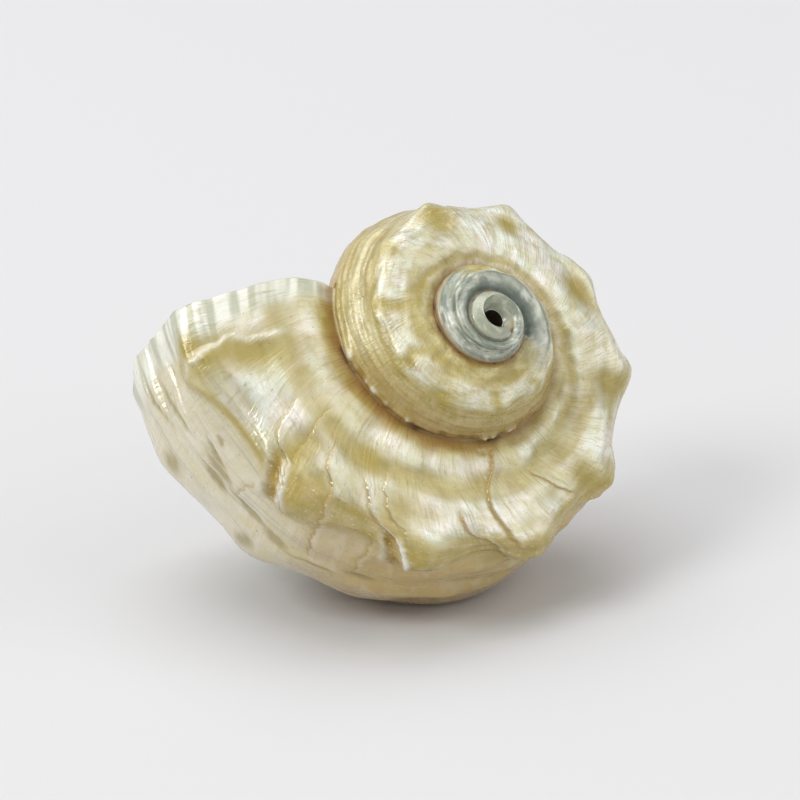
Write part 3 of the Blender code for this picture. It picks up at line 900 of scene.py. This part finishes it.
# painted shade inside the worn hole in the top
HOLE_SHADE = (0.035, 0.022, 0.012, 1)
SLATE = (0.21, 0.25, 0.2, 1)
PALE_SLATE = (0.49, 0.51, 0.415, 1)
# teal of the tip, also its painted shade in the suture's groove
TEAL = (0.1, 0.14, 0.125, 1)
# silver of the tip, partly painted highlights
SILVER = (0.69, 0.72, 0.63, 1)

# Noises over the surface: waves in a turn, waves in a row, detail, roughness
PATTERNS = {
    "clouds": (16, 1.3, 3, 0.55),
    "mottle": (46, 1.9, 3, 0.55),
    "lines": (300, 0.9, 3, 0.6),
    "streaks": (85, 0.9, 2, 0.5),
    "stripes": (6.5, 5.5, 3, 0.55),
    "tints": (24, 1.6, 1, 0.5),
    "bands": (9, 2.1, 2, 0.5),
    "brushed": (7, 0.9, 2, 0.5),
    "blotches": (15, 0.8, 2, 0.6),
    "specks": (330, 9, 1, 0.5),
    "ragged": (22, 0.6, 2, 0.5),
    "broken": (17, 1.5, 2, 0.5),
    "crinkle": (5, 6, 1, 0.5),
}

FRESH_WALL = (35, 75)  # growth over which the fresh wall's pale colour ends
LINE_STOPS = 24  # points of the curve that a growth line follows
LINE_ROWS = 8  # rows that the curve spans
ROUGHNESS_CHANGES = [("blue", -0.06), ("stain_and_shade", 0.3), ("lip", 0.12)]
METALLIC, WHITE_METALLIC = 0.06, 0.32
COAT, COAT_ROUGHNESS = 0.55, 0.17
BUMP_STRENGTH, BUMP_DISTANCE = 0.5, 0.0003


nacre = bpy.data.materials.new("nacre")
nacre.use_nodes = True
SHADER = nacre.node_tree.nodes["Principled BSDF"].inputs


def put(socket, value):
    if isinstance(value, bpy.types.NodeSocket):
        nacre.node_tree.links.new(value, socket)
    else:
        socket.default_value = value


def add(kind, inputs=None, **settings):
    """A new node of the shell's material."""
    node = nacre.node_tree.nodes.new("ShaderNode" + kind)
    for name, value in settings.items():
        setattr(node, name, value)
    for name, value in (inputs or {}).items():
        put(node.inputs[name], value)
    return node


def compute(operation, *values):
    node = add("Math", operation=operation)
    for socket, value in zip(node.inputs, values):
        put(socket, value)
    return node.outputs[0]


def plus(a, b):
    return compute("ADD", a, b)


def times(a, b):
    return compute("MULTIPLY", a, b)


def most(a, b):
    return compute("MAXIMUM", a, b)


def mix(share, a, b):
    return add("Mix", {"Factor": share, "A": a, "B": b}, data_type="RGBA").outputs["Result"]


def smooth(value, low, high, first=0, second=1):
    """A smooth change from first to second as the value goes from low to high."""
    inputs = {"Value": value, "From Min": low, "From Max": high, "To Min": first, "To Max": second}
    return add("MapRange", inputs, interpolation_type="SMOOTHSTEP").outputs[0]


def noise(in_turn, in_row, detail, roughness):
    stretched = add("Mapping", {"Vector": PLACE, "Scale": (in_turn, in_row, 1)}).outputs[0]
    inputs = {"Vector": stretched, "Scale": 1, "Detail": detail, "Roughness": roughness}
    return add("TexNoise", inputs).outputs["Fac"]


PLACE = add("UVMap", uv_map="place").outputs[0]
TURNS, ROW = add("SeparateXYZ", {"Vector": PLACE}).outputs[:2]
GROWTH = times(TURNS, 360)
NOISE = {name: noise(*numbers) for name, numbers in PATTERNS.items()}


def mask(name):
    return add("Attribute", attribute_name=name).outputs["Fac"]


def pattern(name, *numbers):
    return smooth(NOISE[name], *numbers)


def cover(colour, name, share, over):
    """As much of one colour over another as a mask says."""
    return mix(times(mask(name), share), colour, over)


def ramp_colour():
    """Cream and olive clouds, with silvery white, partly painted highlight, in faint rose and green."""
    silver_and_highlight = times(mask("white"), pattern("mottle", 0.3, 0.62, 0.45, 1))
    silver_and_highlight = times(silver_and_highlight, pattern("streaks", 0.3, 0.6, 0.7, 1))
    silver = mix(pattern("tints", 0.38, 0.62), ROSE_WHITE, GREEN_WHITE)
    return mix(silver_and_highlight, mix(pattern("clouds", 0.35, 0.65), OLIVE, CREAM), silver)


def wall_colour():
    """Pinkish tan, browner on the base, and pale with grey-blue stripes where it is fresh."""
    fresh = smooth(GROWTH, *FRESH_WALL, 1, 0)
    wall = mix(smooth(ROW, 6.6, 8), PINKISH, UNDERSIDE)
    wall = mix(fresh, wall, PALE_WALL)
    wall = mix(times(pattern("stripes", 0.54, 0.64, 0, 0.75), fresh), wall, GREY_BLUE)
    wall = mix(pattern("mottle", 0.4, 0.75, 0, 0.4), wall, CREAM)
    return mix(pattern("streaks", 0.5, 0.66, 0, 0.12), wall, WHITE)


def tip_colour():
    """Blotchy slate with partly painted silver highlights, darkest in its suture's groove with painted
    shade.
    """
    blue = mix(pattern("brushed", 0.35, 0.75), SLATE, PALE_SLATE)
    blue = mix(pattern("streaks", 0.52, 0.66, 0, 0.14), blue, SILVER)
    blue = mix(pattern("blotches", 0.53, 0.66, 0, 0.75), blue, SILVER)
    blue = mix(pattern("blotches", 0.34, 0.46, 0.7, 0), blue, TEAL)
    blue = mix(smooth(GROWTH, 900, 1000, 0, 0.6), blue, GREY_BLUE)
    return mix(mask("groove"), blue, TEAL)


def marked(colour):
    """Adds the furrows, margins, golden lines, olive marks, banded lip and slate tip."""
    # olive over the furrows, partly painted shade
    olive_and_shade = times(mask("olive_and_shade"), pattern("mottle", 0.3, 0.6, 0.5, 0.9))
    colour = mix(olive_and_shade, colour, OLIVE)
    margin = mix(pattern("streaks", 0.42, 0.62), TAN, OLIVE)
    margin = mix(pattern("mottle", 0.5, 0.75, 0, 0.35), margin, CREAM)
    colour = cover(colour, "tan", 0.85, margin)
    colour = cover(colour, "gold", 0.9, GOLDEN)
    colour = cover(colour, "mark", 0.72, MOSS)
    colour = cover(colour, "lip", 0.85, mix(pattern("bands", 0.44, 0.58, 0, 0.85), PEARL, GREY_BLUE))
    return mix(mask("blue"), colour, tip_colour())


def speckled(colour):
    """Adds fine growth lines, ochre specks, pale grains and rims."""
    etched = compute("MULTIPLY_ADD", mask("wall"), -0.3, 0.42)
    colour = mix(times(pattern("lines", 0.52, 0.7), etched), colour, OLIVE)
    colour = mix(pattern("specks", 0.7, 0.76, 0, 0.55), colour, OCHRE)
    grains = most(times(mask("tan"), 0.7), mask("gold"))
    grains = times(grains, pattern("specks", 0.28, 0.34, 0.75, 0))
    return cover(mix(grains, colour, WHITE), "rim", 0.75, WHITE)


def stained_and_shaded(colour):
    """Adds brown staining and painted shade along the sutures, and a broken line of painted crevice
    shade.
    """
    ragged = times(mask("stain_and_shade"), pattern("ragged", 0.35, 0.6, 0.7, 1))
    colour = mix(ragged, colour, STAIN_AND_SHADE_BROWN)
    # a broken dark line of painted shade in the deepest crevice at each suture
    crevice_shade = most(smooth(ROW, 0.04, 0.2, 1, 0), smooth(ROW, 6.8, 6.95))
    broken = most(pattern("broken", 0.5, 0.58), smooth(GROWTH, 600, 700))
    deep = times(broken, smooth(ragged, 0.6, 0.95, 0, 0.9))
    return mix(times(crevice_shade, deep), colour, CREVICE_SHADE)


def bump_height():
    """Fine growth lines and unevenness, smoother on the tip."""
    height = plus(plus(NOISE["lines"], times(NOISE["streaks"], 0.6)), NOISE["mottle"])
    rough = compute("MULTIPLY_ADD", mask("blue"), -0.7, 1)
    return times(height, times(rough, smooth(GROWTH, 700, 850, 1, 0.15)))


def past_line(line):
    """Degrees of growth past a growth line."""
    rows = np.linspace(line[0][1], line[-1][1], LINE_STOPS)
    growths = line_angle(line, rows) - trail(rows)
    low, span = growths.min(), max(np.ptp(growths), 1)
    curve = add("FloatCurve", {"Value": compute("DIVIDE", ROW, LINE_ROWS)})
    points = curve.mapping.curves[0].points
    while len(points) < LINE_STOPS:
        points.new(0.5, 0.5)
    for point, stop in zip(points, zip(rows / LINE_ROWS, (growths - low) / span)):
        point.location = stop
    curve.mapping.update()
    return compute("SUBTRACT", GROWTH, compute("MULTIPLY_ADD", curve.outputs[0], span, low))


def cracked(colour, height):
    """Adds a thin golden crack, partly painted shade, and a step along each growth line, to colour and
    bump.
    """
    outside = smooth(mask("side"), 0.1, 0.6, 1, 0)
    crinkle = pattern("crinkle", 0.25, 0.75, -0.3, 0.3)
    for line, _, golden in HALTS:
        gap = plus(past_line(line), crinkle)
        first, last = line[0][1], line[-1][1]
        there = times(smooth(ROW, first - 0.1, first + 0.15), outside)
        there = times(there, smooth(ROW, last - 0.1, last + 0.15, 1, 0))
        wide = 0.55 + 0.4 * (golden > OPEN_CRACK) + 0.5 * (golden > OPENEST_CRACK)
        near = times(smooth(compute("ABSOLUTE", gap), 0.15, wide, 1, 0), there)
        colour = mix(times(near, 0.15 + 0.6 * golden), colour, GOLDEN)
        edge = times(smooth(gap, -0.3, 0.3), smooth(gap, 0.6, 5, 1, 0))
        height = plus(height, times(edge, there))
        height = compute("SUBTRACT", height, times(near, 0.3))
    return colour, height


def set_finish(inside, height):
    """A silvery shine, duller in the brown staining and painted shade, the gold and the hole."""
    rough = pattern("clouds", 0.3, 0.7, 0.2, 0.31)
    for name, change in ROUGHNESS_CHANGES:
        rough = plus(rough, times(mask(name), change))
    rough = plus(rough, times(inside, 0.4))
    bare = most(mask("stain_and_shade"), most(mask("gold"), inside))
    metallic = compute("MULTIPLY_ADD", mask("white"), WHITE_METALLIC, METALLIC)
    metallic = times(metallic, compute("SUBTRACT", 1, bare))
    bump = {"Height": height, "Strength": BUMP_STRENGTH, "Distance": BUMP_DISTANCE}
    put(SHADER["Roughness"], rough)
    put(SHADER["Metallic"], metallic)
    put(SHADER["Normal"], add("Bump", bump).outputs[0])
    put(SHADER["Coat Weight"], COAT)
    put(SHADER["Coat Roughness"], COAT_ROUGHNESS)


def nacre_material():
    """Polished mother of pearl: cream and olive clouds, fine growth lines and a silvery shine."""
    colour = mix(mask("wall"), ramp_colour(), wall_colour())
    colour = stained_and_shaded(speckled(marked(colour)))
    colour, height = cracked(colour, bump_height())
    lining = mix(pattern("tints", 0.3, 0.7, 0.1, 0.9), WARM_LINING, PEARL)
    colour = mix(smooth(mask("side"), 0.1, 0.9), colour, lining)
    inside = compute("COMPARE", mask("side"), HOLE_SIDE, 0.5)
    # the worn hole's inside is painted dark, as shade
    put(SHADER["Base Color"], mix(inside, colour, HOLE_SHADE))
    set_finish(inside, height)
    return nacre


# ---------------- the studio

VIEW_ELEVATION = 25
VIEW_DISTANCE = 435.75  # millimetres from the camera's plane to the pole
VIEW_OFFSET = (10.88, 9.29)  # the pole's place right of and above the middle of the view
HALF_FIELD = 400 / 4150  # half the picture's width over the distance
# Name, place and size in metres, and power
LIGHTS = [
    ("key", (-1, -0.6, 1.1), 0.6, 9.5), ("fill", (1.2, -0.3, 0.9), 1.4, 6),
    ("overhead", (-0.35, 0.35, 1.5), 1.5, 14),
]
LIT_POINT = np.array([0, 0, 0.015])
FLOOR_HALF, FLOOR_COLOUR, FLOOR_ROUGHNESS = 6, (0.67, 0.67, 0.68, 1), 0.9
SKY_COLOUR, SKY_STRENGTH = (0.87, 0.87, 0.875, 1), 0.53


def add_camera():
    data = bpy.data.cameras.new("camera")
    data.lens = 0.5 * data.sensor_width / HALF_FIELD
    data.clip_start = 0.01
    camera = add_object(data)
    up = VIEW_ELEVATION * DEGREE
    back = np.array([0, -math.cos(up), math.sin(up)])
    right, above = np.array([1, 0, 0]), np.array([0, math.sin(up), math.cos(up)])
    place = POLE - VIEW_OFFSET[0] * right - VIEW_OFFSET[1] * above + VIEW_DISTANCE * back
    camera.location = (place * MM).tolist()
    camera.rotation_euler = (math.pi / 2 - up, 0, 0)
    bpy.context.scene.camera = camera


def add_light(name, place, size, power):
    data = bpy.data.lights.new(name, "AREA")
    data.size, data.energy = size, power
    light = add_object(data)
    light.location = place
    aim = LIT_POINT - np.array(place)
    turn = math.atan2(aim[1], aim[0])
    light.rotation_euler = (math.acos(-aim[2] / np.linalg.norm(aim)), 0, turn - math.pi / 2)


def add_floor():
    corners = [(FLOOR_HALF * x, FLOOR_HALF * y, 0) for x, y in ((-1, -1), (1, -1), (1, 1), (-1, 1))]
    data = bpy.data.meshes.new("floor")
    data.from_pydata(corners, [], [(0, 1, 2, 3)])
    floor = add_object(data)
    material = bpy.data.materials.new("paper")
    material.use_nodes = True
    shader = material.node_tree.nodes["Principled BSDF"].inputs
    shader["Base Color"].default_value, shader["Roughness"].default_value = FLOOR_COLOUR, FLOOR_ROUGHNESS
    data.materials.append(material)


def add_sky():
    world = bpy.data.worlds.new("studio")
    world.use_nodes = True
    background = world.node_tree.nodes["Background"].inputs
    background["Color"].default_value = SKY_COLOUR
    background["Strength"].default_value = SKY_STRENGTH
    bpy.context.scene.world = world


def add_studio():
    add_camera()
    add_floor()
    for light in LIGHTS:
        add_light(*light)
    add_sky()
    bpy.context.scene.view_settings.view_transform = "Standard"


make_shell()
add_studio()
